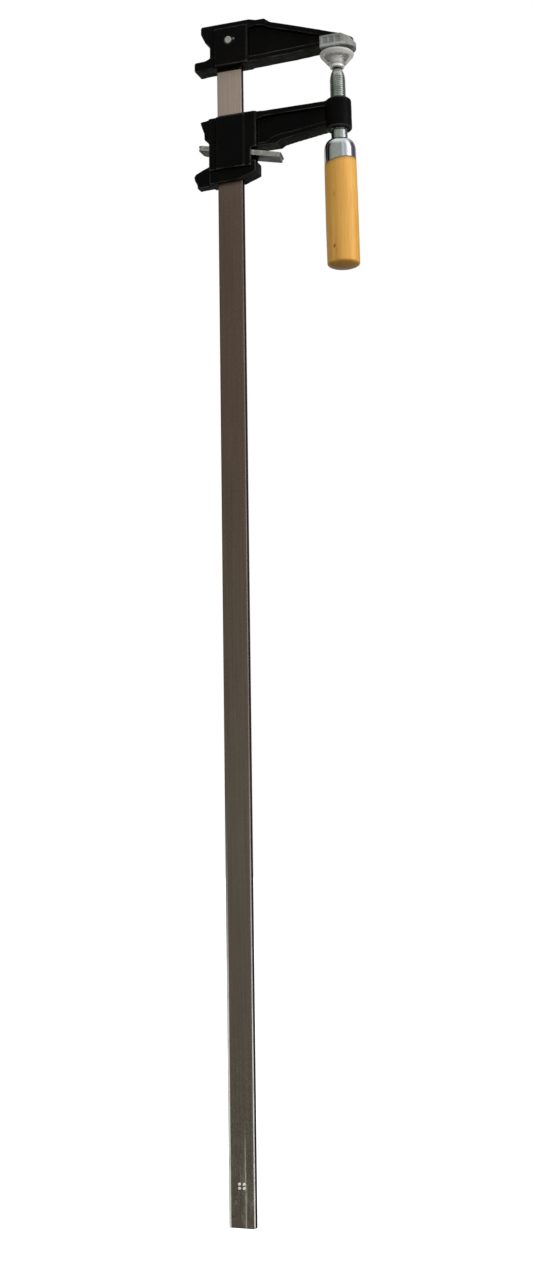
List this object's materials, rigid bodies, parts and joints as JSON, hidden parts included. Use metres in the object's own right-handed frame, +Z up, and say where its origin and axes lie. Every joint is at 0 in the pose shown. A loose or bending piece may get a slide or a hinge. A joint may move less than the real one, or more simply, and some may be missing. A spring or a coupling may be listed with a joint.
{
  "type": "f clamp",
  "caption": "Long F clamp with a cast fixed jaw, a sliding arm held by tilting clutch plates, a swivel pad screw and a wooden handle.",
  "frame": {"origin": "middle of the bar, level with the fixed jaw's clamping face", "axes": "+Z up along the bar to the fixed jaw, +X out along the arms to the screw, -Y the front"},
  "size_m": [0.1334, 0.0264, 0.9198],
  "materials": {
    "bar_steel": "dull dark brown-grey rolled steel with scratches",
    "cast_black": "semi-gloss black paint on a casting",
    "rivet_steel": "peened bright steel",
    "pin_steel": "plain steel",
    "clear_plastic": "translucent grey-clear soft plastic",
    "plate_steel": "bright zinc-plated steel",
    "spring_steel": "spring wire",
    "screw_zinc": "zinc-plated steel thread",
    "socket_zinc": "zinc-plated steel",
    "ferrule_chrome": "mirror chrome",
    "handle_wood": "honey-coloured varnished hardwood"
  },
  "bodies": {
    "bar_and_jaw": {"bar": "bar_steel", "fixed_jaw": "cast_black", "jaw_rivet": "rivet_steel", "jaw_set_pin": "pin_steel", "fixed_jaw_cap": "clear_plastic"},
    "sliding_jaw": {"sliding_arm": "cast_black", "clutch_spring": "spring_steel"},
    "clutch": {"release_plate": "plate_steel", "clutch_plate_upper": "plate_steel", "clutch_plate_middle": "plate_steel", "clutch_plate_lower": "plate_steel"},
    "ball_carrier": {"swivel_retaining_ring": "spring_steel"},
    "screw": {"spindle": "screw_zinc", "spindle_collar": "screw_zinc", "ferrule": "ferrule_chrome", "handle": "handle_wood", "handle_pin": "pin_steel"},
    "swivel": {"swivel_socket": "socket_zinc", "swivel_pad_cap": "clear_plastic"}
  },
  "joints": [
    {"name": "arm_slide", "type": "slide", "parent": "bar_and_jaw", "child": "sliding_jaw", "axis": [0, 0, 1], "range_m": [-0.755, 0]},
    {"name": "clutch_release", "type": "hinge", "parent": "sliding_jaw", "child": "clutch", "pos_m": [-0.0188, 0, -0.0626], "axis": [0, -1, 0], "range_deg": [0, 3], "stiffness_Nm_per_rad": 0.3, "springref_deg": -17.19, "deforming": ["clutch_spring"]},
    {"name": "screw_feed", "type": "slide", "parent": "sliding_jaw", "child": "ball_carrier", "axis": [-0.0157, 0, 0.9999], "range_m": [-0.023, 0.0005]},
    {"name": "screw_turn", "type": "hinge", "parent": "ball_carrier", "child": "screw", "pos_m": [0.08803, 0, -0.0095], "axis": [-0.0157, 0, 0.9999], "range_deg": [-4750, 110]},
    {"name": "pad_tilt", "type": "hinge", "parent": "ball_carrier", "child": "swivel", "pos_m": [0.08803, 0, -0.0095], "axis": [0, 1, 0], "range_deg": [-6, 6]}
  ],
  "couplings": [
    {"joint": "screw_turn", "follows": "screw_feed", "rad_per_m": 3590.4}
  ]
}
